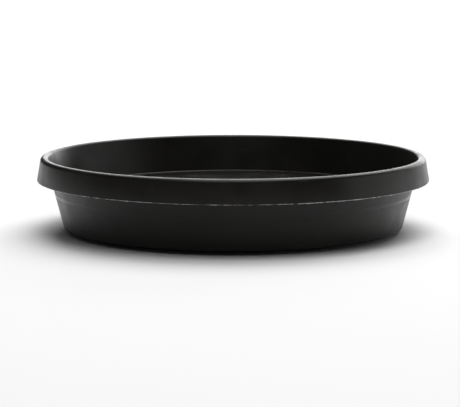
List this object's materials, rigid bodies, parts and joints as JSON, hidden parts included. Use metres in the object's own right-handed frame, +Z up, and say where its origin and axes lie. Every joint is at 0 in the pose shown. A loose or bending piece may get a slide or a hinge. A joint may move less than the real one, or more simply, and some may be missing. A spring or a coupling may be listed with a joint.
{
  "type": "plant pot caddy",
  "caption": "Round black plastic plant pot caddy: a saucer tray with a deep turned-over rim and a skirt that hides swivel casters under its floor.",
  "frame": {"origin": "on the tray's vertical axis, at the level of the ground that the wheels stand on", "axes": "+Z up; -Y towards the front of the tray; +X to the right seen from the front; the casters trail towards +Y at rest"},
  "size_m": [0.4058, 0.4058, 0.078],
  "materials": {
    "tray_plastic": "satin black moulded polypropylene, lightly scuffed",
    "hood_plastic": "fine-textured black nylon",
    "wheel_plastic": "charcoal moulded plastic, worn matt on the tread",
    "washer_nylon": "natural nylon",
    "plate_steel": "pressed steel, bright zinc plated",
    "pin_steel": "turned steel, zinc plated",
    "screw_steel": "zinc plated",
    "clip_steel": "blackened spring steel"
  },
  "bodies": {
    "tray": {"tray": "tray_plastic", "front_left_caster_plate": "plate_steel", "front_left_plate_screw_1": "screw_steel", "front_left_plate_screw_2": "screw_steel", "front_left_plate_screw_3": "screw_steel", "front_left_plate_screw_4": "screw_steel", "front_left_kingpin": "pin_steel", "front_left_retaining_clip": "clip_steel", "front_left_swivel_washer": "washer_nylon", "front_right_caster_plate": "plate_steel", "front_right_plate_screw_1": "screw_steel", "front_right_plate_screw_2": "screw_steel", "front_right_plate_screw_3": "screw_steel", "front_right_plate_screw_4": "screw_steel", "front_right_kingpin": "pin_steel", "front_right_retaining_clip": "clip_steel", "front_right_swivel_washer": "washer_nylon", "rear_left_caster_plate": "plate_steel", "rear_left_plate_screw_1": "screw_steel", "rear_left_plate_screw_2": "screw_steel", "rear_left_plate_screw_3": "screw_steel", "rear_left_plate_screw_4": "screw_steel", "rear_left_kingpin": "pin_steel", "rear_left_retaining_clip": "clip_steel", "rear_left_swivel_washer": "washer_nylon", "rear_right_caster_plate": "plate_steel", "rear_right_plate_screw_1": "screw_steel", "rear_right_plate_screw_2": "screw_steel", "rear_right_plate_screw_3": "screw_steel", "rear_right_plate_screw_4": "screw_steel", "rear_right_kingpin": "pin_steel", "rear_right_retaining_clip": "clip_steel", "rear_right_swivel_washer": "washer_nylon"},
    "front_left_caster": {"front_left_caster_hood": "hood_plastic", "front_left_axle": "pin_steel"},
    "front_left_wheel_left": {"front_left_wheel_left": "wheel_plastic"},
    "front_left_wheel_right": {"front_left_wheel_right": "wheel_plastic"},
    "front_right_caster": {"front_right_caster_hood": "hood_plastic", "front_right_axle": "pin_steel"},
    "front_right_wheel_left": {"front_right_wheel_left": "wheel_plastic"},
    "front_right_wheel_right": {"front_right_wheel_right": "wheel_plastic"},
    "rear_left_caster": {"rear_left_caster_hood": "hood_plastic", "rear_left_axle": "pin_steel"},
    "rear_left_wheel_left": {"rear_left_wheel_left": "wheel_plastic"},
    "rear_left_wheel_right": {"rear_left_wheel_right": "wheel_plastic"},
    "rear_right_caster": {"rear_right_caster_hood": "hood_plastic", "rear_right_axle": "pin_steel"},
    "rear_right_wheel_left": {"rear_right_wheel_left": "wheel_plastic"},
    "rear_right_wheel_right": {"rear_right_wheel_right": "wheel_plastic"}
  },
  "joints": [
    {"name": "front_left_swivel", "type": "hinge", "parent": "tray", "child": "front_left_caster", "pos_m": [-0.08886, -0.08886, 0.0318], "axis": [0, 0, 1], "continuous": true},
    {"name": "front_left_wheel_left_spin", "type": "hinge", "parent": "front_left_caster", "child": "front_left_wheel_left", "pos_m": [-0.08886, -0.07886, 0.014], "axis": [1, 0, 0], "continuous": true},
    {"name": "front_left_wheel_right_spin", "type": "hinge", "parent": "front_left_caster", "child": "front_left_wheel_right", "pos_m": [-0.08886, -0.07886, 0.014], "axis": [1, 0, 0], "continuous": true},
    {"name": "front_right_swivel", "type": "hinge", "parent": "tray", "child": "front_right_caster", "pos_m": [0.08886, -0.08886, 0.0318], "axis": [0, 0, 1], "continuous": true},
    {"name": "front_right_wheel_left_spin", "type": "hinge", "parent": "front_right_caster", "child": "front_right_wheel_left", "pos_m": [0.08886, -0.07886, 0.014], "axis": [1, 0, 0], "continuous": true},
    {"name": "front_right_wheel_right_spin", "type": "hinge", "parent": "front_right_caster", "child": "front_right_wheel_right", "pos_m": [0.08886, -0.07886, 0.014], "axis": [1, 0, 0], "continuous": true},
    {"name": "rear_left_swivel", "type": "hinge", "parent": "tray", "child": "rear_left_caster", "pos_m": [-0.08886, 0.08886, 0.0318], "axis": [0, 0, 1], "continuous": true},
    {"name": "rear_left_wheel_left_spin", "type": "hinge", "parent": "rear_left_caster", "child": "rear_left_wheel_left", "pos_m": [-0.08886, 0.09886, 0.014], "axis": [1, 0, 0], "continuous": true},
    {"name": "rear_left_wheel_right_spin", "type": "hinge", "parent": "rear_left_caster", "child": "rear_left_wheel_right", "pos_m": [-0.08886, 0.09886, 0.014], "axis": [1, 0, 0], "continuous": true},
    {"name": "rear_right_swivel", "type": "hinge", "parent": "tray", "child": "rear_right_caster", "pos_m": [0.08886, 0.08886, 0.0318], "axis": [0, 0, 1], "continuous": true},
    {"name": "rear_right_wheel_left_spin", "type": "hinge", "parent": "rear_right_caster", "child": "rear_right_wheel_left", "pos_m": [0.08886, 0.09886, 0.014], "axis": [1, 0, 0], "continuous": true},
    {"name": "rear_right_wheel_right_spin", "type": "hinge", "parent": "rear_right_caster", "child": "rear_right_wheel_right", "pos_m": [0.08886, 0.09886, 0.014], "axis": [1, 0, 0], "continuous": true}
  ]
}
